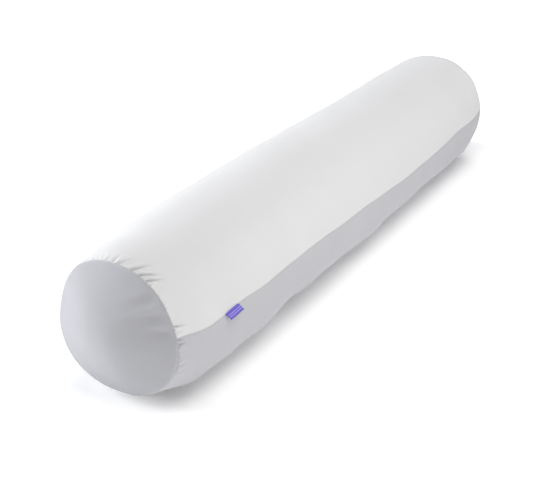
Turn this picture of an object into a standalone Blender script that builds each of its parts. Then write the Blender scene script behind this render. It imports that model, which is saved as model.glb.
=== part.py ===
"""Body pillow: one long filled bolster, sewn from a white top panel, a pale grey under panel and two
round pale grey end panels, with a small folded woven label caught in one side seam.

Metres, +Z up. X runs along the pillow, with the labelled end at -X and the labelled seam at -Y. The
pillow lies on z = 0 and is centred on its own footprint. The panels' solids hold the filling behind
them, so they meet across the pillow along their sewn seams, a small gap apart.

A place on the cover is given by its station, the distance from the near end's seam, and its share,
which runs round the section: 0 along the crown, 1 (labelled side) and -1 (other side) under the pillow.
"""

import bmesh
import bpy
import numpy as np

# Driving dimensions, in metres.
BODY_LENGTH = 1.332
BODY_RADIUS = 0.139
END_CROWN = 0.028
CROWN_ROUND = 0.80
END_RIM_THICKNESS = 0.0012
PIECE_GAP = 0.0003
SEAM_SHARE = 0.4565
SEAM_DIP = 0.0012
SEAM_DIP_REACH = 0.006

# The cover's girth along the pillow, as a share of a full round tube's.
# station, girth share
GIRTH = (
    (0.000, 0.856),
    (0.027, 0.890),
    (0.067, 0.936),
    (0.133, 0.979),
    (0.266, 1.001),
    (0.466, 1.014),
    (0.666, 1.001),
    (0.866, 0.992),
    (1.066, 0.985),
    (1.199, 0.982),
    (1.265, 0.956),
    (1.305, 0.915),
    (1.332, 0.843),
)

# The cloth rolls over its end seams with this depth and length.
ROLL_DEPTH = 0.0012
ROLL_LENGTH = 0.0018

# The cover is twisted a little: the labelled seam runs lower by this much, the other seam higher.
# station, drop along the cover
SEAM_DROP = (
    (0.000, 0.0001),
    (0.050, 0.0035),
    (0.144, -0.0042),
    (0.230, -0.0005),
    (0.330, -0.0017),
    (0.500, 0.0019),
    (0.620, 0.0052),
    (0.700, 0.0087),
    (0.900, 0.0127),
    (1.020, 0.0094),
    (1.140, 0.0032),
    (1.220, 0.0052),
    (1.332, 0.0054),
)

# How the section sags under its own weight: its curvature grows by this much per radius of depth.
MIDDLE_SAG = 0.15
END_SAG = 0.04
END_SAG_REACH = 0.070

# The end seams are held clear of the floor by the stiff gathered rims.
NEAR_RIM_LIFT = 0.0157
FAR_RIM_LIFT = 0.0100
RIM_LIFT_REACH = 0.160

# Broad swells (+) and hollows (-) of the filling, each fading evenly from its middle.
# station, share, height, reach along the pillow, reach round the section
SWELLS = (
    (0.058, 0.74, 0.0078, 0.042, 0.090),
    (0.256, 0.72, 0.0026, 0.032, 0.080),
    (0.372, 0.73, -0.0068, 0.044, 0.095),
    (0.470, 0.72, -0.0030, 0.050, 0.085),
    (0.572, 0.73, -0.0032, 0.030, 0.085),
    (0.690, 0.72, 0.0022, 0.050, 0.080),
    (0.766, 0.73, -0.0014, 0.022, 0.070),
    (0.990, 0.73, -0.0030, 0.050, 0.085),
    (1.056, 0.73, -0.0036, 0.026, 0.080),
    (1.186, 0.73, -0.0056, 0.032, 0.085),
    (0.058, -0.74, 0.0070, 0.042, 0.090),
    (0.150, -0.73, -0.0040, 0.045, 0.080),
    (0.330, -0.72, 0.0022, 0.050, 0.085),
    (0.520, -0.73, -0.0060, 0.045, 0.090),
    (0.760, -0.73, -0.0034, 0.035, 0.080),
    (0.940, -0.72, 0.0024, 0.060, 0.085),
    (1.130, -0.73, -0.0060, 0.040, 0.085),
    (0.000, -0.42, -0.0102, 0.070, 0.165),
    (0.000, 0.37, -0.0030, 0.035, 0.150),
    (1.300, 0.12, 0.0040, 0.050, 0.120),
)

# Gathers: short creases that run from an end seam along the pillow. Depths are at the deepest place,
# and the lean is how far round a crease goes per length along the pillow.
# share, length, depth, lean
NEAR_GATHERS = (
    (-0.960, 0.030, 0.0016, 0.05),
    (-0.870, 0.034, 0.0022, -0.10),
    (-0.760, 0.028, 0.0024, -0.15),
    (-0.655, 0.036, 0.0020, 0.05),
    (-0.560, 0.030, 0.0024, -0.10),
    (-0.440, 0.026, 0.0022, -0.20),
    (-0.345, 0.034, 0.0024, -0.30),
    (-0.265, 0.028, 0.0020, -0.25),
    (-0.185, 0.036, 0.0026, -0.30),
    (-0.120, 0.030, 0.0020, -0.25),
    (-0.060, 0.034, 0.0024, -0.20),
    (-0.022, 0.026, 0.0016, -0.10),
    (0.022, 0.030, 0.0024, 0.15),
    (0.060, 0.036, 0.0022, 0.30),
    (0.102, 0.040, 0.0028, 0.36),
    (0.146, 0.034, 0.0024, 0.56),
    (0.188, 0.030, 0.0020, 0.46),
    (0.300, 0.022, 0.0010, 0.20),
    (0.402, 0.026, 0.0022, 0.22),
    (0.480, 0.030, 0.0020, 0.20),
    (0.530, 0.034, 0.0022, 0.02),
    (0.585, 0.036, 0.0024, 0.00),
    (0.640, 0.030, 0.0022, -0.08),
    (0.720, 0.032, 0.0018, 0.10),
    (0.820, 0.028, 0.0022, 0.05),
    (0.910, 0.032, 0.0018, -0.05),
)
FAR_GATHERS = (
    (-0.900, 0.034, 0.0018, 0.05),
    (-0.790, 0.028, 0.0022, -0.10),
    (-0.690, 0.036, 0.0024, 0.10),
    (-0.600, 0.030, 0.0020, -0.05),
    (-0.520, 0.038, 0.0024, -0.20),
    (-0.400, 0.030, 0.0020, -0.30),
    (-0.320, 0.034, 0.0026, -0.20),
    (-0.230, 0.028, 0.0022, -0.30),
    (-0.150, 0.036, 0.0024, -0.15),
    (-0.075, 0.030, 0.0022, -0.10),
    (0.000, 0.034, 0.0020, 0.05),
    (0.070, 0.026, 0.0022, 0.15),
    (0.155, 0.036, 0.0026, 0.25),
    (0.240, 0.030, 0.0020, 0.30),
    (0.320, 0.028, 0.0022, 0.20),
    (0.395, 0.034, 0.0018, 0.10),
    (0.500, 0.030, 0.0022, 0.05),
    (0.570, 0.036, 0.0024, 0.10),
    (0.650, 0.028, 0.0020, 0.00),
    (0.745, 0.034, 0.0024, -0.05),
    (0.840, 0.030, 0.0020, 0.05),
    (0.930, 0.032, 0.0018, 0.00),
)
GATHER_WIDTH = 0.0055
GATHER_SHARE_AT_SEAM = 0.45
GATHER_RISE = 0.008

# The folded label, measured along the seam, out from it and through both layers.
LABEL_STATION = 0.1085
LABEL_WIDTH = 0.035
LABEL_REACH = 0.0125
LABEL_THICKNESS = 0.0016
LABEL_CLEARANCE = 0.0006
LABEL_FALL_AT_SEAM = 20.0
LABEL_FALL_AT_FOLD = 46.0

# How finely the cover is divided.
ROLL_RINGS = (0.0, 0.25, 1.0)
FIRST_STEP = 0.004
STEP_GROWTH = 1.32
WIDEST_STEP = 0.034
TOP_COLUMNS = 52
UNDER_COLUMNS = 21
END_COLUMNS = 88
END_RINGS = (1.0, 0.96, 0.88, 0.76, 0.60, 0.42, 0.20)
LABEL_COLUMNS = 7
LABEL_LAYERS = 6
TURN_STEPS = 361

# name: colour, roughness
MATERIALS = {
    "white_cover": ((0.88, 0.88, 0.90, 1.0), 0.85),
    "grey_cover": ((0.60, 0.61, 0.64, 1.0), 0.85),
    "purple_ribbon": ((0.14, 0.10, 0.64, 1.0), 0.55),
}


def clear_scene():
    for existing in list(bpy.data.objects):
        bpy.data.objects.remove(existing, do_unlink=True)


def smooth_curve(rows, position):
    """Smooth curve through rows of (position, value), with the rows' own slopes."""
    places, values = np.array(rows, dtype=float).T
    slopes = np.gradient(values, places)
    row = np.clip(np.searchsorted(places, position, side="right") - 1, 0, len(places) - 2)
    step = places[row + 1] - places[row]
    part = np.clip((position - places[row]) / step, 0.0, 1.0)
    rise = part * part * (3.0 - 2.0 * part)
    leave = part * (1.0 - part) ** 2 * step * slopes[row]
    arrive = part * part * (part - 1.0) * step * slopes[row + 1]
    return (1.0 - rise) * values[row] + rise * values[row + 1] + leave + arrive


def running_integral(rate, places):
    areas = 0.5 * (rate[1:] + rate[:-1]) * np.diff(places)
    return np.concatenate([[0.0], np.cumsum(areas)])


def resting_outline(sag):
    """Half section of a filled tube lying on a floor, for a tube of unit radius.

    The outline's curvature grows evenly with its depth below the crown, as the filling's pressure
    does. What is left of the half girth when the outline has turned level lies flat on the floor.
    Gives the outline's share of the half girth, its half width and its depth below the crown.
    """
    turn = np.linspace(0.0, np.pi, TURN_STEPS)
    slack, tight = 0.2, 1.2
    while tight - slack > 1e-9:
        crown_curvature = 0.5 * (slack + tight)
        curvature = np.sqrt(crown_curvature**2 + 2.0 * sag * (1.0 - np.cos(turn)))
        arc = running_integral(1.0 / curvature, turn)
        width = running_integral(np.cos(turn) / curvature, turn)
        if arc[-1] + width[-1] > np.pi:
            slack = crown_curvature
        else:
            tight = crown_curvature
    depth = running_integral(np.sin(turn) / curvature, turn)
    return np.append(arc, np.pi) / np.pi, np.append(width, 0.0), np.append(depth, depth[-1])


def end_roll(distance):
    """How far the cloth turns in where it rolls over its end seam."""
    part = np.clip(1.0 - distance / ROLL_LENGTH, 0.0, 1.0)
    return ROLL_DEPTH * (1.0 - np.sqrt(1.0 - part**2))


def girth_radius(station):
    roll = end_roll(station) + end_roll(BODY_LENGTH - station)
    return BODY_RADIUS * smooth_curve(GIRTH, station) - roll


def sag_at(station):
    near = np.exp(-((station / END_SAG_REACH) ** 2))
    far = np.exp(-(((BODY_LENGTH - station) / END_SAG_REACH) ** 2))
    return MIDDLE_SAG - (MIDDLE_SAG - END_SAG) * (near + far)


def lift_at(station):
    """Height of the section's lowest line; it is level with the floor away from the end rims."""
    near = NEAR_RIM_LIFT * np.clip(1.0 - station / RIM_LIFT_REACH, 0.0, 1.0) ** 2
    far = FAR_RIM_LIFT * np.clip(1.0 - (BODY_LENGTH - station) / RIM_LIFT_REACH, 0.0, 1.0) ** 2
    return near + far


def seam_shares(station):
    """Shares of the labelled seam and of the other seam, which is on the negative side."""
    drop = smooth_curve(SEAM_DROP, station) / (np.pi * BODY_RADIUS * smooth_curve(GIRTH, station))
    return SEAM_SHARE + drop, -SEAM_SHARE + drop


def gather_depth(distance, arc_per_share, share, rows):
    """Depth of the gathers at a distance from their end seam."""
    rise = GATHER_SHARE_AT_SEAM + (1.0 - GATHER_SHARE_AT_SEAM) * min(distance / GATHER_RISE, 1.0)
    depth = np.zeros_like(share)
    for place, length, deepest, lean in rows:
        fade = max(1.0 - distance / length, 0.0) ** 1.5
        across = ((share - place) * arc_per_share - lean * distance) / GATHER_WIDTH
        depth += deepest * rise * fade * np.exp(-(across**2))
    return depth


def swells(station, share):
    """How far the filling stands out (+) or in (-) from the smooth form of the cover."""
    height = np.zeros_like(share)
    for place, middle, swell, reach_along, reach_round in SWELLS:
        away = ((station - place) / reach_along) ** 2 + ((share - middle) / reach_round) ** 2
        height += swell * np.exp(-away)
    return height


def relief(station, share):
    """The swells with the dips of the side seams and the gathers of the end seams."""
    arc_per_share = np.pi * girth_radius(station)
    height = swells(station, share)
    for seam in seam_shares(station):
        height -= SEAM_DIP * np.exp(-np.abs(share - seam) * arc_per_share / SEAM_DIP_REACH)
    height -= gather_depth(station, arc_per_share, share, NEAR_GATHERS)
    height -= gather_depth(BODY_LENGTH - station, arc_per_share, share, FAR_GATHERS)
    return height


def cover_points(station, share, relief_at=relief):
    """Points of the cover at one station. The flat on the floor takes no relief."""
    outline_share, width, depth = resting_outline(sag_at(station))
    radius = girth_radius(station)
    lift = lift_at(station)
    around = np.abs(share)
    side = -np.sign(share) * np.interp(around, outline_share, width) * radius
    fall = np.interp(around, outline_share, depth) * radius
    height = lift + depth[-1] * radius - fall
    middle = lift + 0.5 * depth[-1] * radius
    reach = np.hypot(side, height - middle)
    floor_start = outline_share[-2]
    off_floor = np.clip((floor_start - around) / 0.05, 0.0, 1.0)
    push = relief_at(station, share) * off_floor / reach
    side = side * (1.0 + push)
    height = np.maximum(height + (height - middle) * push, 0.0)
    return np.column_stack([np.full_like(side, station), side, height])


def ring_stations():
    """Stations of the rings: close together at the end seams and even along the middle."""
    steps = [FIRST_STEP]
    while steps[-1] * STEP_GROWTH < WIDEST_STEP:
        steps.append(steps[-1] * STEP_GROWTH)
    roll = ROLL_LENGTH * np.array(ROLL_RINGS)
    edge = np.concatenate([roll, ROLL_LENGTH + np.cumsum(steps)])
    middle_steps = int(np.ceil((BODY_LENGTH - 2.0 * edge[-1]) / WIDEST_STEP))
    middle = np.linspace(edge[-1], BODY_LENGTH - edge[-1], middle_steps + 1)
    return np.concatenate([edge[:-1], middle, BODY_LENGTH - edge[-2::-1]])


def loft(rings, start_tip=None, end_tip=None):
    """Vertices and faces of a closed solid over rings of points, each fanned shut to its tip.

    Every four-cornered patch is split the same way, so two surfaces that lie a gap apart and
    share their ring order stay apart where they are twisted.
    """
    count = len(rings[0])
    start_tip = rings[0].mean(axis=0) if start_tip is None else start_tip
    end_tip = rings[-1].mean(axis=0) if end_tip is None else end_tip
    vertices = np.vstack([*rings, start_tip, end_tip])
    first_tip = len(rings) * count
    last_ring = first_tip - count
    faces = []
    for start in range(0, last_ring, count):
        for column in range(count):
            after = (column + 1) % count
            faces.append((start + column, start + after, start + count + after))
            faces.append((start + column, start + count + after, start + count + column))
    for column in range(count):
        after = (column + 1) % count
        faces.append((first_tip, after, column))
        faces.append((first_tip + 1, last_ring + column, last_ring + after))
    return vertices, faces


def fabric_material(name):
    colour, roughness = MATERIALS[name]
    material = bpy.data.materials.get(name)
    if material is None:
        material = bpy.data.materials.new(name)
        material.use_nodes = True
        shader = material.node_tree.nodes["Principled BSDF"]
        shader.inputs["Base Color"].default_value = colour
        shader.inputs["Roughness"].default_value = roughness
        shader.inputs["Metallic"].default_value = 0.0
    return material


def add_solid(name, shape, material_name):
    vertices, faces = shape
    mesh = bpy.data.meshes.new(name)
    mesh.from_pydata([tuple(point) for point in vertices], [], faces)
    shell = bmesh.new()
    shell.from_mesh(mesh)
    bmesh.ops.recalc_face_normals(shell, faces=shell.faces)
    shell.to_mesh(mesh)
    shell.free()
    mesh.shade_smooth()
    mesh.set_sharp_from_angle(angle=np.radians(40.0))
    mesh.materials.append(fabric_material(material_name))
    solid = bpy.data.objects.new(name, mesh)
    bpy.context.collection.objects.link(solid)
    return solid


def top_panel():
    rings = []
    for station in ring_stations():
        gap_share = 0.5 * PIECE_GAP / (np.pi * girth_radius(station))
        labelled, other = seam_shares(station)
        shares = np.linspace(other + gap_share, labelled - gap_share, TOP_COLUMNS + 1)
        rings.append(cover_points(station, shares))
    return loft(rings)


def under_panel():
    """Two sides round to the floor, joined by one flat strip that the pillow rests on."""
    rings = []
    for station in ring_stations():
        gap_share = 0.5 * PIECE_GAP / (np.pi * girth_radius(station))
        labelled, other = seam_shares(station)
        floor_start = resting_outline(sag_at(station))[0][-2]
        other_side = np.linspace(other - gap_share, -floor_start, UNDER_COLUMNS + 1)
        labelled_side = np.linspace(floor_start, labelled + gap_share, UNDER_COLUMNS + 1)
        rings.append(cover_points(station, np.concatenate([other_side, labelled_side])))
    return loft(rings)


def crown_share(part):
    """The end crown's height as a share, from its middle (0) to its rim (1): round, then straight."""
    turned = min(part / CROWN_ROUND, 1.0)
    round_fall = 2.0 * CROWN_ROUND / np.pi
    fallen = round_fall * (1.0 - np.cos(0.5 * np.pi * turned)) + max(part - CROWN_ROUND, 0.0)
    return 1.0 - fallen / (round_fall + 1.0 - CROWN_ROUND)


def end_panel(station, outward):
    """A round panel over the filled end: its rim follows the end seam and its middle is crowned."""
    shares = np.linspace(-1.0, 1.0, END_COLUMNS, endpoint=False)
    rim = cover_points(station, shares, swells)
    middle = rim.mean(axis=0)
    rings = []
    for ring_share in (END_RINGS[0], *END_RINGS):
        ring = middle + (rim - middle) * ring_share
        rings.append(ring)
    for order, ring in enumerate(rings):
        ring_share = END_RINGS[max(order - 1, 0)]
        crown = END_RIM_THICKNESS + (END_CROWN - END_RIM_THICKNESS) * crown_share(ring_share)
        stand_off = PIECE_GAP if order == 0 else crown
        ring[:, 0] = station + outward * stand_off
    back = middle + np.array([outward * PIECE_GAP, 0.0, 0.0])
    front = middle + np.array([outward * END_CROWN, 0.0, 0.0])
    return loft(rings, start_tip=back, end_tip=front)


def label_profile():
    """Outline of the folded ribbon: out from the seam, over its round fold and back, as
    (outward, downward) pairs measured from the seam."""
    steps = np.linspace(0.0, 1.0, LABEL_LAYERS)
    fall = np.radians(LABEL_FALL_AT_SEAM + (LABEL_FALL_AT_FOLD - LABEL_FALL_AT_SEAM) * steps)
    length = LABEL_REACH * steps
    outward = running_integral(np.cos(fall), length)
    downward = running_integral(np.sin(fall), length)
    half = 0.5 * LABEL_THICKNESS
    over = np.column_stack([outward + half * np.sin(fall), downward - half * np.cos(fall)])
    under = np.column_stack([outward - half * np.sin(fall), downward + half * np.cos(fall)])
    nose = np.array([[outward[-1] + half * np.cos(fall[-1]), downward[-1] + half * np.sin(fall[-1])]])
    return np.vstack([over, nose, under[::-1]])


def label():
    profile = label_profile()
    rings = []
    for station in np.linspace(LABEL_STATION, LABEL_STATION + LABEL_WIDTH, LABEL_COLUMNS + 1):
        labelled, _other = seam_shares(station)
        seam = cover_points(station, np.array([labelled]))[0]
        outward = seam[1] - LABEL_CLEARANCE - 0.5 * LABEL_THICKNESS - profile[:, 0]
        rings.append(np.column_stack([np.full(len(profile), station), outward, seam[2] - profile[:, 1]]))
    return loft(rings)


def centre_on_footprint(solids):
    corners = np.vstack([[vertex.co[:] for vertex in solid.data.vertices] for solid in solids])
    middle = 0.5 * (corners.min(axis=0) + corners.max(axis=0))
    for solid in solids:
        for vertex in solid.data.vertices:
            vertex.co.x -= middle[0]
            vertex.co.y -= middle[1]


def build_pillow():
    clear_scene()
    solids = [
        add_solid("top_panel", top_panel(), "white_cover"),
        add_solid("under_panel", under_panel(), "grey_cover"),
        add_solid("near_end", end_panel(0.0, -1.0), "grey_cover"),
        add_solid("far_end", end_panel(BODY_LENGTH, 1.0), "grey_cover"),
        add_solid("label", label(), "purple_ribbon"),
    ]
    centre_on_footprint(solids)


build_pillow()
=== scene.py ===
"""Looks of the body pillow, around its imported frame: the cloth panels, the folded label, the light.

Metres, +Z up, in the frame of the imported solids. X runs along the pillow with the labelled end at -X,
and the labelled seam is on the -Y side. A place on the cover is given by its station, the distance
from the near end's seam, and its share, which runs round the section: 0 along the crown, 1 (labelled
side) and -1 (other side) under the pillow.
"""

import bpy
import numpy as np
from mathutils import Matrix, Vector


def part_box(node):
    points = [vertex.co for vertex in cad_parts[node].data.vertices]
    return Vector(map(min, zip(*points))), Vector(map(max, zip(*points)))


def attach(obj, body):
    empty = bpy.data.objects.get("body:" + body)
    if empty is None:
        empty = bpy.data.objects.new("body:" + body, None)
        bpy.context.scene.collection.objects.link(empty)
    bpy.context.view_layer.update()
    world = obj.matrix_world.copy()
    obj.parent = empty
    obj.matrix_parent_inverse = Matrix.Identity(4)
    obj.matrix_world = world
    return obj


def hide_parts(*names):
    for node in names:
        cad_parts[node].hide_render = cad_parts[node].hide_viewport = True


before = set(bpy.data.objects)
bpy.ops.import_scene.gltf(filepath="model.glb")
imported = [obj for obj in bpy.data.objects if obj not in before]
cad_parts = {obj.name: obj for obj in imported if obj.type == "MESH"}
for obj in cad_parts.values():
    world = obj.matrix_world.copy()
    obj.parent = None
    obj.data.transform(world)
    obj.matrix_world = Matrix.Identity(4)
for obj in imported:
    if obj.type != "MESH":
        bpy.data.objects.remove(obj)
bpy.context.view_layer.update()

# The filled cover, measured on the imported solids.
PANEL_LOW, PANEL_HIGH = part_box("top_panel")
NEAR_SEAM_X = PANEL_LOW[0]
BODY_LENGTH = PANEL_HIGH[0] - PANEL_LOW[0]
AXIS_Y = 0.5 * (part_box("far_end")[0][1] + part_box("far_end")[1][1])
# The soft end stands out a little more than its plain solid.
END_FULLNESS = 1.20
END_CROWN = END_FULLNESS * (PANEL_LOW[0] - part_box("near_end")[0][0])

# The full round tube's radius, where the side seams lie on it, and the gap between two pieces.
BODY_RADIUS = 0.139
SEAM_SHARE = 0.4565
PIECE_GAP = 0.0003

# station, girth as a share of a full round tube's
GIRTH = (
    (0.000, 0.856),
    (0.027, 0.890),
    (0.067, 0.936),
    (0.133, 0.979),
    (0.266, 1.001),
    (0.466, 1.014),
    (0.666, 1.001),
    (0.866, 0.992),
    (1.066, 0.985),
    (1.199, 0.982),
    (1.265, 0.956),
    (1.305, 0.915),
    (1.332, 0.843),
)

# The cloth rolls over its end seam with this depth and length.
ROLL_DEPTH = 0.0006
ROLL_LENGTH = 0.0018

# station, drop of the labelled seam along the cover; the other seam rises as much
SEAM_DROP = (
    (0.000, 0.0001),
    (0.050, 0.0035),
    (0.144, -0.0042),
    (0.230, -0.0005),
    (0.330, -0.0017),
    (0.500, 0.0019),
    (0.620, 0.0052),
    (0.700, 0.0087),
    (0.900, 0.0127),
    (1.020, 0.0094),
    (1.140, 0.0032),
    (1.220, 0.0052),
    (1.332, 0.0054),
)

# The section sags: its curvature grows by this much per radius of depth, less so at the ends.
MIDDLE_SAG = 0.15
END_SAG = 0.04
END_SAG_REACH = 0.070
# The crown's curvature is searched for in this range, to this precision.
CROWN_CURVATURES = (0.2, 1.2)
CURVATURE_PRECISION = 1e-9
# The end rims lift off the floor by this much, and the lift ends this far along.
NEAR_RIM_LIFT = 0.0157
FAR_RIM_LIFT = 0.0100
RIM_LIFT_REACH = 0.160
# Relief fades in beside the flat on the floor, over this share.
FLAT_FADE = 0.05

# Broad swells (+) and hollows (-) of the filling.
# station, share, height, reach along the pillow, reach round the section
SWELLS = (
    (0.058, 0.74, 0.0078, 0.042, 0.090),
    (0.256, 0.72, 0.0026, 0.032, 0.080),
    (0.372, 0.73, -0.0068, 0.044, 0.095),
    (0.470, 0.72, -0.0030, 0.050, 0.085),
    (0.572, 0.73, -0.0032, 0.030, 0.085),
    (0.690, 0.72, 0.0022, 0.050, 0.080),
    (0.766, 0.73, -0.0014, 0.022, 0.070),
    (0.990, 0.73, -0.0030, 0.050, 0.085),
    (1.056, 0.73, -0.0036, 0.026, 0.080),
    (1.186, 0.73, -0.0056, 0.032, 0.085),
    (0.058, -0.74, 0.0070, 0.042, 0.090),
    (0.150, -0.73, -0.0040, 0.045, 0.080),
    (0.330, -0.72, 0.0022, 0.050, 0.085),
    (0.520, -0.73, -0.0060, 0.045, 0.090),
    (0.760, -0.73, -0.0034, 0.035, 0.080),
    (0.940, -0.72, 0.0024, 0.060, 0.085),
    (1.130, -0.73, -0.0060, 0.040, 0.085),
    (0.000, -0.42, -0.0102, 0.070, 0.165),
    (0.000, 0.37, -0.0030, 0.035, 0.150),
    (1.300, 0.12, 0.0040, 0.050, 0.120),
    (1.282, 0.29, 0.0058, 0.055, 0.100),
)

# Creases gathered at an end seam. Lean is how far round a crease goes per length along the pillow.
# share, length, depth, width, lean
NEAR_GATHERS = (
    (-0.960, 0.030, 0.0014, 0.0028, 0.05),
    (-0.870, 0.034, 0.0022, 0.0030, -0.10),
    (-0.760, 0.028, 0.0024, 0.0026, -0.15),
    (-0.655, 0.036, 0.0022, 0.0030, 0.05),
    (-0.600, 0.018, 0.0014, 0.0022, 0.00),
    (-0.545, 0.030, 0.0028, 0.0026, -0.10),
    (-0.440, 0.026, 0.0028, 0.0026, -0.20),
    (-0.345, 0.034, 0.0028, 0.0028, -0.30),
    (-0.265, 0.028, 0.0024, 0.0024, -0.25),
    (-0.185, 0.034, 0.0028, 0.0028, -0.30),
    (-0.130, 0.020, 0.0012, 0.0024, -0.25),
    (-0.098, 0.024, 0.0014, 0.0026, -0.22),
    (-0.072, 0.018, 0.0010, 0.0022, -0.20),
    (-0.049, 0.022, 0.0012, 0.0022, -0.30),
    (-0.020, 0.024, 0.0014, 0.0022, -0.28),
    (0.007, 0.028, 0.0026, 0.0028, 0.00),
    (0.038, 0.010, 0.0010, 0.0020, -0.20),
    (0.034, 0.036, 0.0040, 0.0028, 0.42),
    (0.058, 0.012, 0.0014, 0.0020, -0.30),
    (0.097, 0.040, 0.0084, 0.0028, 0.42),
    (0.117, 0.016, 0.0016, 0.0018, 0.30),
    (0.137, 0.038, 0.0096, 0.0024, 0.64),
    (0.158, 0.012, 0.0032, 0.0018, 0.40),
    (0.175, 0.036, 0.0082, 0.0022, 0.50),
    (0.196, 0.016, 0.0016, 0.0020, 0.30),
    (0.238, 0.024, 0.0008, 0.0034, 0.20),
    (0.330, 0.018, 0.0006, 0.0026, 0.30),
    (0.406, 0.024, 0.0066, 0.0019, 0.20),
    (0.430, 0.020, 0.0024, 0.0020, 0.20),
    (0.468, 0.016, 0.0060, 0.0022, 0.06),
    (0.484, 0.020, 0.0052, 0.0022, 0.20),
    (0.524, 0.036, 0.0016, 0.0030, 0.02),
    (0.560, 0.022, 0.0012, 0.0024, 0.00),
    (0.591, 0.040, 0.0022, 0.0026, 0.00),
    (0.637, 0.040, 0.0022, 0.0026, -0.08),
    (0.680, 0.024, 0.0014, 0.0022, 0.00),
    (0.722, 0.034, 0.0018, 0.0028, 0.10),
    (0.820, 0.028, 0.0018, 0.0028, 0.05),
    (0.910, 0.032, 0.0014, 0.0030, -0.05),
)
FAR_GATHERS = (
    (-0.900, 0.034, 0.0014, 0.0030, 0.05),
    (-0.790, 0.028, 0.0018, 0.0030, -0.10),
    (-0.690, 0.036, 0.0022, 0.0032, 0.10),
    (-0.640, 0.018, 0.0012, 0.0024, 0.00),
    (-0.590, 0.030, 0.0018, 0.0028, -0.05),
    (-0.520, 0.038, 0.0022, 0.0032, -0.20),
    (-0.400, 0.030, 0.0018, 0.0028, -0.30),
    (-0.320, 0.034, 0.0026, 0.0030, -0.20),
    (-0.285, 0.016, 0.0014, 0.0022, -0.25),
    (-0.230, 0.028, 0.0020, 0.0026, -0.30),
    (-0.150, 0.036, 0.0022, 0.0030, -0.15),
    (-0.075, 0.030, 0.0018, 0.0026, -0.10),
    (-0.035, 0.018, 0.0012, 0.0022, 0.00),
    (0.000, 0.034, 0.0016, 0.0030, 0.05),
    (0.070, 0.026, 0.0014, 0.0026, 0.15),
    (0.155, 0.036, 0.0020, 0.0030, 0.25),
    (0.200, 0.064, 0.0034, 0.0036, 0.10),
    (0.240, 0.030, 0.0016, 0.0028, 0.30),
    (0.340, 0.060, 0.0024, 0.0036, 0.10),
    (0.395, 0.034, 0.0016, 0.0030, 0.10),
    (0.500, 0.030, 0.0018, 0.0028, 0.05),
    (0.570, 0.036, 0.0020, 0.0030, 0.10),
    (0.650, 0.028, 0.0016, 0.0028, 0.00),
    (0.745, 0.034, 0.0020, 0.0030, -0.05),
    (0.840, 0.030, 0.0014, 0.0028, 0.05),
    (0.930, 0.032, 0.0012, 0.0030, 0.00),
)
# A gather's strength at its seam, how far along it is at full strength, and how fast it fades.
GATHER_AT_SEAM = 0.25
GATHER_RISE = 0.0035
GATHER_FADE = 1.5
# A gather's width at its seam, and how much of it is lost by its tip.
GATHER_WIDTH = 1.1
GATHER_NARROWING = 0.3
# Across a gather, in widths. Its valley is a sum of bells: height, sharpness.
VALLEY_BELLS = ((0.5, 1.5), (0.5, 0.6))
# The ridges above and below the valley: height, place.
RIDGE_BELLS = ((0.12, -2.1), (0.42, 1.9))
RIDGE_SHARPNESS = 0.9

# Soft folds of the round end panels, from the rim inward: hollows (-) and ridges (+). Turn is the
# angle, in degrees, from straight inward.
# share, turn, length, height, width
NEAR_END_FOLDS = (
    (0.150, 25.0, 0.022, -0.0008, 0.0060),
    (0.222, 24.0, 0.090, 0.0013, 0.0070),
    (0.256, 16.0, 0.058, -0.0034, 0.0105),
    (0.300, 13.0, 0.104, 0.0026, 0.0062),
    (0.348, 13.0, 0.070, -0.0036, 0.0100),
    (0.350, 12.0, 0.022, 0.0022, 0.0110),
    (0.394, 8.0, 0.064, 0.0018, 0.0060),
    (0.430, 4.0, 0.066, -0.0036, 0.0100),
    (0.430, 4.0, 0.022, 0.0022, 0.0110),
    (0.180, 10.0, 0.014, -0.0006, 0.0022),
    (0.205, 20.0, 0.016, -0.0008, 0.0022),
    (0.560, 0.0, 0.034, -0.0007, 0.0100),
    (0.690, 5.0, 0.036, -0.0009, 0.0110),
    (0.860, 0.0, 0.034, -0.0009, 0.0100),
    (-0.900, 0.0, 0.036, -0.0008, 0.0110),
    (-0.700, -8.0, 0.030, -0.0006, 0.0100),
    (-0.480, 0.0, 0.036, -0.0006, 0.0120),
    (-0.220, 10.0, 0.030, -0.0005, 0.0100),
)
FAR_END_FOLDS = (
    (0.060, 0.0, 0.050, -0.0016, 0.0100),
    (0.180, -12.0, 0.070, 0.0020, 0.0090),
    (0.235, -10.0, 0.055, -0.0020, 0.0100),
    (0.300, 0.0, 0.050, 0.0012, 0.0100),
    (0.370, 0.0, 0.045, -0.0014, 0.0100),
    (0.560, 6.0, 0.045, -0.0014, 0.0110),
    (0.640, 8.0, 0.060, 0.0014, 0.0100),
    (0.780, 0.0, 0.045, -0.0016, 0.0110),
    (-0.930, 0.0, 0.042, -0.0012, 0.0120),
    (-0.720, 10.0, 0.050, -0.0016, 0.0110),
    (-0.570, 14.0, 0.070, 0.0020, 0.0090),
    (-0.510, 12.0, 0.050, -0.0018, 0.0100),
    (-0.410, 0.0, 0.045, -0.0010, 0.0110),
    (-0.190, -6.0, 0.050, -0.0014, 0.0120),
)
# A fold's strength at the rim, and how far in it is at full strength.
FOLD_AT_RIM = 0.30
FOLD_RISE = 0.012
# The end's crown is round over this share of its radius and straight from there to the rim.
CROWN_ROUND = 0.80
# The panel's rounded edge at the rim, and how far in the crown and the folds start.
END_RIM_THICKNESS = 0.0008
END_RIM_ROUNDING = 0.0012
END_RIM_FALL = 0.003

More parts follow.
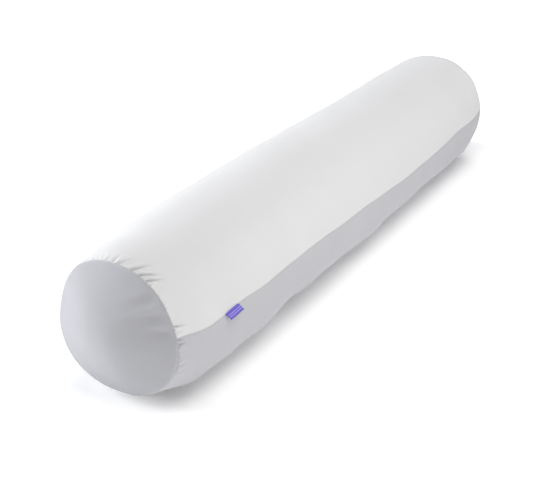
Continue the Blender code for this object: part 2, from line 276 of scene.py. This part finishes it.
# The dip at every seam, and fine pulls along the side seams and the end seams.
SEAM_DIP = 0.0011
SEAM_DIP_REACH = 0.0028
SIDE_PULL = 0.00022
SIDE_PULL_REACH = 0.008
END_PULL = 0.00042
END_PULL_REACH = 0.007
PULL_PITCH = 0.0085
SLOW_PULL_PITCH = PULL_PITCH * 7.3
SECOND_PULL_PITCH = PULL_PITCH * 0.61
SECOND_PULL = 0.6
# Where the slow pull starts, and how far it turns the two finer ones (radians) and changes them.
PULL_START = 1.0
PULL_WANDER = 1.7
SECOND_PULL_WANDER = 2.3
PULL_CHANGE = 0.3
# The uneven lie of the filling under the cloth: long waves in all directions.
LUMP_HEIGHT = 0.00022
LUMP_LENGTHS = (0.060, 0.220)
LUMP_WAVES = 16
LUMP_SEED = 11

# How finely the panels are divided.
ROLL_STEP = 0.0004
FINE_STEP = 0.0012
FINE_LENGTH = 0.042
STEP_GROWTH = 1.18
WIDEST_STEP = 0.0110
TOP_COLUMNS = 480
UNDER_COLUMNS = 170
FLOOR_COLUMNS = 16
END_COLUMNS = 480
END_RINGS = 80
TURN_STEPS = 721
# An end panel's rings crowd toward its rim: their places are even steps raised to this power.
END_RING_BIAS = 1.7
# Edges that turn by more than this many degrees are shaded as sharp.
SHARP_ANGLE = 60.0

# The folded label, measured along the seam and out from it. It falls by these angles, in degrees.
LABEL_STATION = 0.1085
LABEL_WIDTH = 0.035
LABEL_REACH = 0.0125
LABEL_CLOTH = 0.0005
LABEL_LAYER_GAP = 0.0005
LABEL_CLEARANCE = 0.0006
LABEL_FALL_AT_SEAM = 20.0
LABEL_FALL_AT_FOLD = 46.0
LABEL_COLUMNS = 70
LABEL_STEPS = 26
LABEL_FOLD_STEPS = 10
LABEL_WAVE = 0.0004
LABEL_WAVE_COUNT = 1.3
LABEL_WAVE_START = 0.6

# The jersey: its lighter and darker colour, and the pitch and height of its wales and courses.
WHITE_CLOTH = ((0.713, 0.711, 0.715), (0.686, 0.684, 0.689))
GREY_CLOTH = ((0.515, 0.517, 0.543), (0.491, 0.493, 0.519))
WALE_PITCH = 0.0009
WALE_HEIGHT = 0.5
COURSE_PITCH = 0.0007
COURSE_HEIGHT = 0.25
COURSE_BEND = 0.9
CLOTH_SHEEN = 0.06
CLOTH_SHEEN_ROUGHNESS = 0.5
CLOTH_ROUGHNESS = 0.80
CLOTH_SPECULAR = 0.25
# Noise in three sizes, and how much of it goes into the knit's height, the shade and the roughness.
FIBRE_SCALE = 2600.0
SOFT_SCALE = 90.0
SOFT_DETAIL = 3.0
BROAD_SCALE = 9.0
FIBRE_IN_KNIT = 0.8
FIBRE_IN_SHADE = 0.4
BROAD_IN_SHADE = 0.6
SOFT_IN_ROUGHNESS = 0.10
# Each bump's strength and distance.
KNIT_BUMP = (0.35, 0.00008)
SOFT_BUMP = (0.30, 0.0006)

# The ribbon: its ground's two purples, its stripes and its weave.
RIBBON_DARK = (0.105, 0.070, 0.52)
RIBBON_LIGHT = (0.17, 0.125, 0.72)
RIBBON_STRIPE = (0.52, 0.47, 0.92)
STRIPES_FROM_FOLD = (0.0044, 0.0080)
STRIPE_HALF_WIDTH = 0.0005
RIB_PITCH = 0.00045
THREAD_PITCH = 0.0003
THREAD_HEIGHT = 0.5
WEAVE_BUMP = (0.5, 0.0001)
RIBBON_MOTTLE_SCALE = 900.0
RIBBON_ROUGHNESS = 0.5
RIBBON_SHEEN = 0.15

# The camera: where it stands, where it looks (degrees), its lens and sensor (millimetres), and how
# far it sees.
CAMERA_PLACE = (-1.860, -0.951, 0.987)
CAMERA_YAW = 29.68
CAMERA_FALL = 25.43
CAMERA_LENS = 74.4
SENSOR_WIDTH = 36.0
CAMERA_SIGHT = 50.0

# Large soft round lights.
# name: place, aim, size, power, colour
LIGHTS = {
    "top": ((0.112, 0.000, 3.198), (0.0, 0.0, 0.0), 2.4, 29.4, (0.985, 0.995, 1.015)),
    "left_low": ((-1.545, 2.677, 0.828), (0.0, 0.0, 0.0), 1.6, 48.0, (0.978, 0.990, 1.018)),
    "left_high_front": ((-1.386, 2.400, 1.600), (0.0, 0.0, 0.0), 1.6, 41.0, (0.978, 0.990, 1.018)),
    "right_front_top": ((-0.676, -1.171, 2.900), (0.0, 0.0, 0.0), 1.6, 20.1, (1.010, 1.000, 0.985)),
    "right_low": ((-0.350, -2.167, 0.482), (-0.35, 0.0, 0.1), 1.2, 13.5, (1.022, 1.000, 0.965)),
    "right_back_top": ((0.676, -1.171, 2.900), (0.0, 0.0, 0.0), 1.6, 20.9, (0.990, 0.997, 1.010)),
    "back_high_front": ((1.504, 0.547, 2.771), (0.0, 0.0, 0.0), 1.6, 12.9, (0.990, 0.997, 1.010)),
}
WORLD_COLOUR = (1.0, 1.0, 1.0)
WORLD_STRENGTH = 0.05
# The studio's wall is pale near the floor and fades to the dim room above it.
WALL_STRENGTH = 0.60
WALL_TOP = 0.12
FLOOR_SIZE = 90.0
FLOOR_COLOUR = (0.9, 0.9, 0.9)
FLOOR_ROUGHNESS = 0.9
FLOOR_SPECULAR = 0.1

# This glow is painted light on the floor; its low band along the pillow is painted shade round the
# pillow's shadow.
# The floor's own glow grows with the distance from a line under the pillow's axis, in steps.
# from distance, to distance, added glow
FLOOR_GLOWS = (
    (0.040, 0.150, 0.225),
    (0.600, 2.400, 0.320),
    (2.200, 5.000, 0.320),
)
FLOOR_LEAST_GLOW = 0.092
# The line's middle and half length, and how many times a distance past its ends counts.
GLOW_MIDDLE = 0.080
GLOW_HALF_LENGTH = 0.685
GLOW_END_HASTE = 2.6


def smooth_curve(rows, position):
    """Smooth curve through rows of (position, value), with the rows' own slopes."""
    places, values = np.array(rows, dtype=float).T
    slopes = np.gradient(values, places)
    row = np.clip(np.searchsorted(places, position, side="right") - 1, 0, len(places) - 2)
    step = places[row + 1] - places[row]
    part = np.clip((position - places[row]) / step, 0.0, 1.0)
    rise = part * part * (3.0 - 2.0 * part)
    leave = part * (1.0 - part) ** 2 * step * slopes[row]
    arrive = part * part * (part - 1.0) * step * slopes[row + 1]
    return (1.0 - rise) * values[row] + rise * values[row + 1] + leave + arrive


def running_integral(rate, places):
    areas = 0.5 * (rate[1:] + rate[:-1]) * np.diff(places)
    return np.concatenate([[0.0], np.cumsum(areas)])


def resting_outline(sag):
    """Half section of a filled tube lying on a floor, for a tube of unit radius.

    Gives the outline's share of the half girth, its half width and its depth below the crown.
    """
    turn = np.linspace(0.0, np.pi, TURN_STEPS)
    slack, tight = CROWN_CURVATURES
    while tight - slack > CURVATURE_PRECISION:
        crown_curvature = 0.5 * (slack + tight)
        curvature = np.sqrt(crown_curvature**2 + 2.0 * sag * (1.0 - np.cos(turn)))
        arc = running_integral(1.0 / curvature, turn)
        width = running_integral(np.cos(turn) / curvature, turn)
        if arc[-1] + width[-1] > np.pi:
            slack = crown_curvature
        else:
            tight = crown_curvature
    depth = running_integral(np.sin(turn) / curvature, turn)
    return np.append(arc, np.pi) / np.pi, np.append(width, 0.0), np.append(depth, depth[-1])


def end_roll(distance):
    """How far the cloth turns in where it rolls over its end seam."""
    part = np.clip(1.0 - distance / ROLL_LENGTH, 0.0, 1.0)
    return ROLL_DEPTH * (1.0 - np.sqrt(1.0 - part**2))


def girth_radius(station):
    roll = end_roll(station) + end_roll(BODY_LENGTH - station)
    return BODY_RADIUS * smooth_curve(GIRTH, station) - roll


def sag_at(station):
    near = np.exp(-((station / END_SAG_REACH) ** 2))
    far = np.exp(-(((BODY_LENGTH - station) / END_SAG_REACH) ** 2))
    return MIDDLE_SAG - (MIDDLE_SAG - END_SAG) * (near + far)


def lift_at(station):
    """Height of the section's lowest line; it is level with the floor away from the end rims."""
    near = NEAR_RIM_LIFT * np.clip(1.0 - station / RIM_LIFT_REACH, 0.0, 1.0) ** 2
    far = FAR_RIM_LIFT * np.clip(1.0 - (BODY_LENGTH - station) / RIM_LIFT_REACH, 0.0, 1.0) ** 2
    return near + far


def seam_shares(station):
    """Shares of the labelled seam and of the other seam, which is on the negative side."""
    drop = smooth_curve(SEAM_DROP, station) / (np.pi * BODY_RADIUS * smooth_curve(GIRTH, station))
    return SEAM_SHARE + drop, -SEAM_SHARE + drop


def lump_waves():
    """Directions, phases and heights of the long waves that make the filling lie unevenly."""
    draw = np.random.default_rng(LUMP_SEED)
    lengths = np.exp(draw.uniform(*np.log(LUMP_LENGTHS), LUMP_WAVES))
    turns = draw.uniform(0.0, np.pi, LUMP_WAVES)
    phases = draw.uniform(0.0, 2.0 * np.pi, LUMP_WAVES)
    heights = LUMP_HEIGHT * lengths / lengths.mean()
    return np.column_stack([np.cos(turns) / lengths, np.sin(turns) / lengths, phases, heights])


def lumps(along, around):
    height = np.zeros_like(around)
    for wave_along, wave_around, phase, wave_height in LUMPS:
        height += wave_height * np.cos(2.0 * np.pi * (wave_along * along + wave_around * around) + phase)
    return height


def pulls(length):
    """Uneven fine ripple along a seam, by the length along it."""
    slow = np.sin(2.0 * np.pi * length / SLOW_PULL_PITCH + PULL_START)
    first = np.sin(2.0 * np.pi * length / PULL_PITCH + PULL_WANDER * slow)
    second = np.sin(2.0 * np.pi * length / SECOND_PULL_PITCH + SECOND_PULL_WANDER * slow)
    return (first + SECOND_PULL * second) * (1.0 - PULL_CHANGE + PULL_CHANGE * slow)


def gathers(distance, arc_per_share, share, rows):
    """Relief of the gathers at a distance from their end seam: sharp valleys, each with a low ridge
    above it and a full one below. A gather's place is its share at the seam."""
    height = np.zeros_like(share)
    for place, length, depth, width, lean in rows:
        part = distance / length
        if part >= 1.0:
            continue
        rise = GATHER_AT_SEAM + (1.0 - GATHER_AT_SEAM) * min(distance / GATHER_RISE, 1.0)
        strength = depth * rise * (1.0 - part) ** GATHER_FADE
        narrowed = width * (GATHER_WIDTH - GATHER_NARROWING * part)
        across = ((share - place) * arc_per_share - lean * distance) / narrowed
        below = across if place > 0.0 else -across
        valley = sum(bell * np.exp(-sharpness * across**2) for bell, sharpness in VALLEY_BELLS)
        ridges = sum(
            bell * np.exp(-RIDGE_SHARPNESS * (below - middle) ** 2) for bell, middle in RIDGE_BELLS)
        height += strength * (ridges - valley)
    return height


def swells(station, share):
    height = np.zeros_like(share)
    for place, middle, swell, reach_along, reach_round in SWELLS:
        away = ((station - place) / reach_along) ** 2 + ((share - middle) / reach_round) ** 2
        height += swell * np.exp(-away)
    return height


def relief(station, share):
    """How far the cover stands out (+) or in (-) from its smooth form."""
    far_distance = BODY_LENGTH - station
    arc_per_share = np.pi * girth_radius(station)
    height = swells(station, share) + lumps(station, share * np.pi * BODY_RADIUS)
    for seam in seam_shares(station):
        off_seam = np.abs(share - seam) * arc_per_share
        height -= SEAM_DIP * np.exp(-off_seam / SEAM_DIP_REACH)
        height += SIDE_PULL * pulls(station + seam) * np.exp(-((off_seam / SIDE_PULL_REACH) ** 2))
    for distance, rows in ((station, NEAR_GATHERS), (far_distance, FAR_GATHERS)):
        height += gathers(distance, arc_per_share, share, rows)
        height += END_PULL * pulls(share * arc_per_share) * np.exp(-((distance / END_PULL_REACH) ** 2))
    return height


def cover_points(station, share, relief_at=relief):
    """Points of the cover at one station. The flat on the floor takes no relief."""
    outline_share, width, depth = resting_outline(sag_at(station))
    radius = girth_radius(station)
    lift = lift_at(station)
    around = np.abs(share)
    side = -np.sign(share) * np.interp(around, outline_share, width) * radius
    height = lift + (depth[-1] - np.interp(around, outline_share, depth)) * radius
    middle = lift + 0.5 * depth[-1] * radius
    reach = np.hypot(side, height - middle)
    off_floor = np.clip((outline_share[-2] - around) / FLAT_FADE, 0.0, 1.0)
    push = relief_at(station, share) * off_floor / reach
    side = side * (1.0 + push)
    height = np.maximum(height + (height - middle) * push, 0.0)
    return np.column_stack([np.full_like(side, NEAR_SEAM_X + station), AXIS_Y + side, height])


def ring_stations():
    """Stations of the rings: very close at the end rolls, close along the gathers, even beyond."""
    roll = np.arange(0.0, ROLL_LENGTH, ROLL_STEP)
    fine = np.arange(ROLL_LENGTH, FINE_LENGTH, FINE_STEP)
    edge = list(np.concatenate([roll, fine]))
    step = FINE_STEP
    while step < WIDEST_STEP:
        step *= STEP_GROWTH
        edge.append(edge[-1] + step)
    middle_steps = int(np.ceil((BODY_LENGTH - 2.0 * edge[-1]) / WIDEST_STEP))
    middle = np.linspace(edge[-1], BODY_LENGTH - edge[-1], middle_steps + 1)
    return np.concatenate([edge[:-1], middle, BODY_LENGTH - np.array(edge[-2::-1])])


def lofted_mesh(name, rings, places):
    """Closed mesh over rings of points, each end fanned shut, with every point's place in the
    cloth (metres across and along) kept as the UV map "cloth"."""
    ring_count, count = rings.shape[:2]
    vertices = np.vstack([rings.reshape(-1, 3), rings[0].mean(axis=0), rings[-1].mean(axis=0)])
    start = np.arange(ring_count - 1)[:, None] * count
    column = np.arange(count)[None, :]
    after = (column + 1) % count
    patches = np.stack(np.broadcast_arrays(
        start + column, start + after, start + count + after, start + count + column), axis=-1)
    faces = patches.reshape(-1, 4).tolist()
    tip, last = ring_count * count, (ring_count - 1) * count
    for corner in range(count):
        following = (corner + 1) % count
        faces.append((tip, following, corner))
        faces.append((tip + 1, last + corner, last + following))
    mesh = bpy.data.meshes.new(name)
    mesh.from_pydata(vertices.tolist(), [], faces)
    mesh.validate()
    places = np.vstack([places.reshape(-1, 2), places[0].mean(axis=0), places[-1].mean(axis=0)])
    corners = np.empty(len(mesh.loops), dtype=np.int32)
    mesh.loops.foreach_get("vertex_index", corners)
    mesh.uv_layers.new(name="cloth").uv.foreach_set("vector", places[corners].ravel())
    return mesh


def outward(mesh):
    """Turns the faces outward, judged by the sign of the mesh's volume."""
    mesh.calc_loop_triangles()
    points = np.empty(len(mesh.vertices) * 3)
    mesh.vertices.foreach_get("co", points)
    corners = np.empty(len(mesh.loop_triangles) * 3, dtype=np.int32)
    mesh.loop_triangles.foreach_get("vertices", corners)
    first, second, third = points.reshape(-1, 3)[corners.reshape(-1, 3)].transpose(1, 0, 2)
    if np.einsum("ij,ij->", first, np.cross(second, third)) < 0.0:
        mesh.flip_normals()


def add_piece(mesh, material, node):
    """Puts a finished mesh in the scene in place of its solid."""
    outward(mesh)
    mesh.shade_smooth()
    mesh.set_sharp_from_angle(angle=np.radians(SHARP_ANGLE))
    mesh.materials.append(material)
    piece = bpy.data.objects.new(mesh.name, mesh)
    bpy.context.collection.objects.link(piece)
    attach(piece, "root")
    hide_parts(node)
    return piece


def panel_mesh(name, shares_at):
    """A long panel: shares_at gives a station's shares, in order round the piece."""
    rings, places = [], []
    for station in ring_stations():
        shares, across = shares_at(station)
        rings.append(cover_points(station, shares))
        places.append(np.column_stack([across * np.pi * BODY_RADIUS, np.full_like(across, station)]))
    return lofted_mesh(name, np.array(rings), np.array(places))


def top_shares(station):
    gap_share = 0.5 * PIECE_GAP / (np.pi * girth_radius(station))
    labelled, other = seam_shares(station)
    shares = np.linspace(other + gap_share, labelled - gap_share, TOP_COLUMNS + 1)
    return shares, shares


def under_shares(station):
    gap_share = 0.5 * PIECE_GAP / (np.pi * girth_radius(station))
    labelled, other = seam_shares(station)
    floor_start = resting_outline(sag_at(station))[0][-2]
    other_side = np.linspace(other - gap_share, -floor_start, UNDER_COLUMNS + 1)
    floor = np.linspace(floor_start, 2.0 - floor_start, FLOOR_COLUMNS + 1)[::-1][1:-1]
    floor = np.where(floor > 1.0, floor - 2.0, floor)
    labelled_side = np.linspace(floor_start, labelled + gap_share, UNDER_COLUMNS + 1)
    shares = np.concatenate([other_side, floor, labelled_side])
    return shares, np.where(shares < 0.0, shares + 2.0, shares)


def crown_share(part):
    """The end crown's height as a share, from its middle (0) to the rim (1): round, then straight."""
    round_fall = 2.0 * CROWN_ROUND / np.pi
    turned = np.minimum(part / CROWN_ROUND, 1.0)
    fallen = round_fall * (1.0 - np.cos(0.5 * np.pi * turned)) + max(part - CROWN_ROUND, 0.0)
    return 1.0 - fallen / (round_fall + 1.0 - CROWN_ROUND)


def end_folds(places, shares, rim, middle, rows):
    """Height of the folds at places (y, z) of an end panel."""
    height = np.zeros(len(places))
    for share, turn, length, fold, width in rows:
        start = np.array([np.interp(share, shares, rim[:, 0]), np.interp(share, shares, rim[:, 1])])
        inward = (middle - start) / np.linalg.norm(middle - start)
        cos, sin = np.cos(np.radians(turn)), np.sin(np.radians(turn))
        ahead = np.array([inward[0] * cos - inward[1] * sin, inward[0] * sin + inward[1] * cos])
        run = np.clip((places - start) @ ahead, 0.0, length)
        off = (places - start) @ np.array([-ahead[1], ahead[0]]) / width
        rise = FOLD_AT_RIM + (1.0 - FOLD_AT_RIM) * np.minimum(run / FOLD_RISE, 1.0)
        height += fold * rise * (0.5 + 0.5 * np.cos(np.pi * run / length)) * np.exp(-(off**2))
    return height


def end_mesh(name, station, outward_x, folds):
    """A round end panel, crowned by the filling and drawn into soft folds at its rim."""
    shares = np.linspace(-1.0, 1.0, END_COLUMNS, endpoint=False)
    rim = cover_points(station, shares, swells)
    middle = rim.mean(axis=0)
    rings = []
    for part in np.linspace(0.0, 1.0, END_RINGS, endpoint=False):
        inward = part**END_RING_BIAS
        distance = inward * girth_radius(station)
        ring = middle + (rim - middle) * (1.0 - inward)
        height = (END_CROWN - END_RIM_THICKNESS) * crown_share(1.0 - inward)
        height = height + lumps(ring[:, 1], ring[:, 2])
        height = height + end_folds(ring[:, 1:], shares, rim[:, 1:], middle[1:], folds)
        edge = END_RIM_THICKNESS * np.sqrt(1.0 - max(1.0 - distance / END_RIM_ROUNDING, 0.0) ** 2)
        height = edge + np.maximum(height, 0.0) * min(distance / END_RIM_FALL, 1.0)
        ring[:, 0] = rim[:, 0] + outward_x * (PIECE_GAP + height)
        rings.append(ring)
    rings = np.array(rings)
    return lofted_mesh(name, rings, rings[:, :, 1:])


def label_line():
    """Middle line of the folded ribbon as (outward, downward): out from the seam, round and back."""
    steps = np.linspace(0.0, 1.0, LABEL_STEPS)
    fall = np.radians(LABEL_FALL_AT_SEAM + (LABEL_FALL_AT_FOLD - LABEL_FALL_AT_SEAM) * steps)
    out = running_integral(np.cos(fall), LABEL_REACH * steps)
    down = running_integral(np.sin(fall), LABEL_REACH * steps)
    half = 0.5 * (LABEL_CLOTH + LABEL_LAYER_GAP)
    over = np.column_stack([out + half * np.sin(fall), down - half * np.cos(fall)])
    under = np.column_stack([out - half * np.sin(fall), down + half * np.cos(fall)])
    angle = np.linspace(0.0, np.pi, LABEL_FOLD_STEPS + 1)[1:-1]
    normal = np.array([np.sin(fall[-1]), -np.cos(fall[-1])])
    ahead = np.array([np.cos(fall[-1]), np.sin(fall[-1])])
    end = np.array([out[-1], down[-1]])
    nose = end + half * (np.outer(np.cos(angle), normal) + np.outer(np.sin(angle), ahead))
    return np.vstack([over, nose, under[::-1]])


def label_mesh(name):
    """The ribbon as a thin closed cloth that follows its folded line along the seam."""
    line = label_line()
    ahead = np.gradient(line, axis=0)
    ahead /= np.linalg.norm(ahead, axis=1)[:, None]
    normal = np.column_stack([ahead[:, 1], -ahead[:, 0]])
    half = 0.5 * LABEL_CLOTH
    outline = np.vstack([line + normal * half, (line - normal * half)[::-1]])
    travelled = np.concatenate([[0.0], np.cumsum(np.linalg.norm(np.diff(line, axis=0), axis=1))])
    lengths = np.concatenate([travelled, travelled[::-1]])
    rings, places = [], []
    for part in np.linspace(0.0, 1.0, LABEL_COLUMNS + 1):
        station = LABEL_STATION + LABEL_WIDTH * part
        labelled, _other = seam_shares(station)
        seam = cover_points(station, np.array([labelled]))[0]
        wave = np.sin(2.0 * np.pi * part * LABEL_WAVE_COUNT + LABEL_WAVE_START)
        sway = LABEL_WAVE * wave * outline[:, 0] / LABEL_REACH
        root = seam[1] - LABEL_CLEARANCE - half - 0.5 * LABEL_LAYER_GAP
        rings.append(np.column_stack([
            np.full(len(outline), seam[0]), root - outline[:, 0], seam[2] - outline[:, 1] + sway]))
        places.append(np.column_stack([np.full(len(outline), LABEL_WIDTH * part), lengths]))
    return lofted_mesh(name, np.array(rings), np.array(places)), travelled[-1]


def node(tree, kind, **settings):
    made = tree.nodes.new(kind)
    for key, value in settings.items():
        setattr(made, key, value)
    return made


def maths(tree, operation, first, second=None):
    made = node(tree, "ShaderNodeMath", operation=operation)
    for socket, value in zip(made.inputs, (first, second)):
        if value is None:
            continue
        if isinstance(value, (int, float)):
            socket.default_value = value
        else:
            tree.links.new(value, socket)
    return made.outputs[0]


def noise(tree, place, scale, detail=2.0):
    made = node(tree, "ShaderNodeTexNoise")
    made.inputs["Scale"].default_value = scale
    made.inputs["Detail"].default_value = detail
    tree.links.new(place, made.inputs["Vector"])
    return made.outputs["Fac"]


def blend_colours(tree, factor, first, second):
    """Mix of two colours; the first may also be another node's output."""
    made = node(tree, "ShaderNodeMix", data_type="RGBA")
    tree.links.new(factor, made.inputs["Factor"])
    if isinstance(first, tuple):
        made.inputs["A"].default_value = (*first, 1.0)
    else:
        tree.links.new(first, made.inputs["A"])
    made.inputs["B"].default_value = (*second, 1.0)
    return made.outputs["Result"]


def split_place(tree, place):
    made = node(tree, "ShaderNodeSeparateXYZ")
    tree.links.new(place, made.inputs[0])
    return made.outputs


def cloth_place(tree):
    return node(tree, "ShaderNodeUVMap", uv_map="cloth").outputs["UV"]


def ripple(tree, length, pitch):
    return maths(tree, "SINE", maths(tree, "MULTIPLY", length, 2.0 * np.pi / pitch))


def scaled(tree, value, factor):
    return maths(tree, "MULTIPLY", value, factor)


def smooth_ramp(tree, value, start, end, low, high):
    """Rises smoothly from low to high as the value goes from start to end."""
    made = node(tree, "ShaderNodeMapRange", interpolation_type="SMOOTHSTEP")
    tree.links.new(value, made.inputs["Value"])
    for socket, setting in zip(("From Min", "From Max", "To Min", "To Max"), (start, end, low, high)):
        made.inputs[socket].default_value = setting
    return made.outputs["Result"]


def bump(tree, height, strength, distance, under=None):
    made = node(tree, "ShaderNodeBump")
    made.inputs["Strength"].default_value = strength
    made.inputs["Distance"].default_value = distance
    tree.links.new(height, made.inputs["Height"])
    if under is not None:
        tree.links.new(under, made.inputs["Normal"])
    return made.outputs["Normal"]


def new_material(name):
    """A new material with its node tree and its shader."""
    material = bpy.data.materials.new(name)
    material.use_nodes = True
    return material, material.node_tree, material.node_tree.nodes["Principled BSDF"]


def cloth_material(name, light, dark):
    """Fine jersey knit: wales of small loops in the bump, faint shade and roughness changes."""
    material, tree, shader = new_material(name)
    place = cloth_place(tree)
    split = split_place(tree, place)
    course = ripple(tree, split["Y"], COURSE_PITCH)
    bend = scaled(tree, course, COURSE_BEND)
    across = scaled(tree, split["X"], 2.0 * np.pi / WALE_PITCH)
    wale = maths(tree, "SINE", maths(tree, "ADD", across, bend))
    loops = maths(tree, "ADD", scaled(tree, wale, WALE_HEIGHT), scaled(tree, course, COURSE_HEIGHT))
    fibre = noise(tree, place, FIBRE_SCALE)
    soft = noise(tree, place, SOFT_SCALE, SOFT_DETAIL)
    broad = noise(tree, place, BROAD_SCALE)
    knit = maths(tree, "ADD", loops, scaled(tree, fibre, FIBRE_IN_KNIT))
    softness = bump(tree, soft, *SOFT_BUMP)
    tree.links.new(bump(tree, knit, *KNIT_BUMP, softness), shader.inputs["Normal"])
    mottle = maths(
        tree, "ADD", scaled(tree, broad, BROAD_IN_SHADE), scaled(tree, fibre, FIBRE_IN_SHADE))
    tree.links.new(blend_colours(tree, mottle, dark, light), shader.inputs["Base Color"])
    uneven = maths(tree, "ADD", scaled(tree, soft, SOFT_IN_ROUGHNESS), CLOTH_ROUGHNESS)
    tree.links.new(uneven, shader.inputs["Roughness"])
    shader.inputs["Sheen Weight"].default_value = CLOTH_SHEEN
    shader.inputs["Sheen Roughness"].default_value = CLOTH_SHEEN_ROUGHNESS
    shader.inputs["Specular IOR Level"].default_value = CLOTH_SPECULAR
    return material


def stripe(tree, from_fold, middle):
    off_middle = maths(tree, "ABSOLUTE", maths(tree, "SUBTRACT", from_fold, middle))
    return maths(tree, "LESS_THAN", off_middle, STRIPE_HALF_WIDTH)


def ribbon_material(name, length):
    """Fine ribbed satin ribbon with two plain pale stripes across it."""
    material, tree, shader = new_material(name)
    place = cloth_place(tree)
    split = split_place(tree, place)
    from_fold = maths(tree, "ABSOLUTE", maths(tree, "SUBTRACT", split["Y"], 0.5 * length))
    first, second = (stripe(tree, from_fold, middle) for middle in STRIPES_FROM_FOLD)
    stripes = maths(tree, "MAXIMUM", first, second)
    thread = ripple(tree, split["X"], THREAD_PITCH)
    weave = maths(tree, "ADD", ripple(tree, split["Y"], RIB_PITCH), scaled(tree, thread, THREAD_HEIGHT))
    tree.links.new(bump(tree, weave, *WEAVE_BUMP), shader.inputs["Normal"])
    ground = blend_colours(tree, noise(tree, place, RIBBON_MOTTLE_SCALE), RIBBON_DARK, RIBBON_LIGHT)
    tree.links.new(blend_colours(tree, stripes, ground, RIBBON_STRIPE), shader.inputs["Base Color"])
    shader.inputs["Roughness"].default_value = RIBBON_ROUGHNESS
    shader.inputs["Sheen Weight"].default_value = RIBBON_SHEEN
    return material


def floor_material():
    """Matt pale floor with a painted glow that is least near the pillow, which paints shade round the
    pillow's own shadow.
    """
    material, tree, shader = new_material("studio_floor")
    shader.inputs["Base Color"].default_value = (*FLOOR_COLOUR, 1.0)
    shader.inputs["Roughness"].default_value = FLOOR_ROUGHNESS
    shader.inputs["Specular IOR Level"].default_value = FLOOR_SPECULAR
    shader.inputs["Emission Color"].default_value = (1.0, 1.0, 1.0, 1.0)
    split = split_place(tree, node(tree, "ShaderNodeTexCoord").outputs["Object"])
    off_middle = maths(tree, "ABSOLUTE", maths(tree, "SUBTRACT", split["X"], GLOW_MIDDLE))
    beyond = maths(tree, "MAXIMUM", maths(tree, "SUBTRACT", off_middle, GLOW_HALF_LENGTH), 0.0)
    beyond = scaled(tree, beyond, GLOW_END_HASTE)
    aside = scaled(tree, split["Y"], split["Y"])
    away = maths(tree, "SQRT", maths(tree, "ADD", scaled(tree, beyond, beyond), aside))
    # Painted light: the glow added step by step away from the pillow, leaving painted shade along it.
    total = FLOOR_LEAST_GLOW
    for start, end, strength in FLOOR_GLOWS:
        total = maths(tree, "ADD", smooth_ramp(tree, away, start, end, 0.0, strength), total)
    tree.links.new(total, shader.inputs["Emission Strength"])
    return material


def add_floor():
    half = 0.5 * FLOOR_SIZE
    corners = [(-half, -half, 0.0), (half, -half, 0.0), (half, half, 0.0), (-half, half, 0.0)]
    mesh = bpy.data.meshes.new("floor")
    mesh.from_pydata(corners, [], [(0, 1, 2, 3)])
    mesh.materials.append(floor_material())
    floor = bpy.data.objects.new("floor", mesh)
    bpy.context.collection.objects.link(floor)


def add_light(name, place, aim, size, power, colour):
    data = bpy.data.lights.new(name, "AREA")
    data.shape = "DISK"
    data.size = size
    data.energy = power
    data.color = colour
    light = bpy.data.objects.new(name, data)
    light.location = place
    light.rotation_euler = (Vector(aim) - Vector(place)).to_track_quat("-Z", "Y").to_euler()
    bpy.context.collection.objects.link(light)


def add_camera():
    turn, fall = np.radians(CAMERA_YAW), np.radians(CAMERA_FALL)
    ahead = Vector((np.cos(fall) * np.cos(turn), np.cos(fall) * np.sin(turn), -np.sin(fall)))
    data = bpy.data.cameras.new("camera")
    data.sensor_width = SENSOR_WIDTH
    data.lens = CAMERA_LENS
    data.clip_end = CAMERA_SIGHT
    camera = bpy.data.objects.new("camera", data)
    camera.location = CAMERA_PLACE
    camera.rotation_euler = ahead.to_track_quat("-Z", "Y").to_euler()
    bpy.context.collection.objects.link(camera)
    bpy.context.scene.camera = camera


def light_scene():
    for name, settings in LIGHTS.items():
        add_light(name, *settings)
    world = bpy.data.worlds.new("studio")
    world.use_nodes = True
    tree = world.node_tree
    sky = tree.nodes["Background"]
    sky.inputs["Color"].default_value = (*WORLD_COLOUR, 1.0)
    direction = split_place(tree, node(tree, "ShaderNodeTexCoord").outputs["Generated"])
    wall = smooth_ramp(tree, direction["Z"], 0.0, WALL_TOP, WALL_STRENGTH, WORLD_STRENGTH)
    tree.links.new(wall, sky.inputs["Strength"])
    bpy.context.scene.world = world
    bpy.context.scene.view_settings.view_transform = "Standard"


def add_pillow():
    white = cloth_material("white_jersey", *WHITE_CLOTH)
    grey = cloth_material("grey_jersey", *GREY_CLOTH)
    near_mesh = end_mesh("near_end_cover", 0.0, -1.0, NEAR_END_FOLDS)
    far_mesh = end_mesh("far_end_cover", BODY_LENGTH, 1.0, FAR_END_FOLDS)
    top = add_piece(panel_mesh("top_cover", top_shares), white, "top_panel")
    under = add_piece(panel_mesh("under_cover", under_shares), grey, "under_panel")
    near = add_piece(near_mesh, grey, "near_end")
    far = add_piece(far_mesh, grey, "far_end")
    ribbon_mesh, ribbon_length = label_mesh("label_ribbon")
    purple = ribbon_material("purple_ribbon", ribbon_length)
    label = add_piece(ribbon_mesh, purple, "label")


LUMPS = lump_waves()
add_pillow()
add_floor()
light_scene()
add_camera()
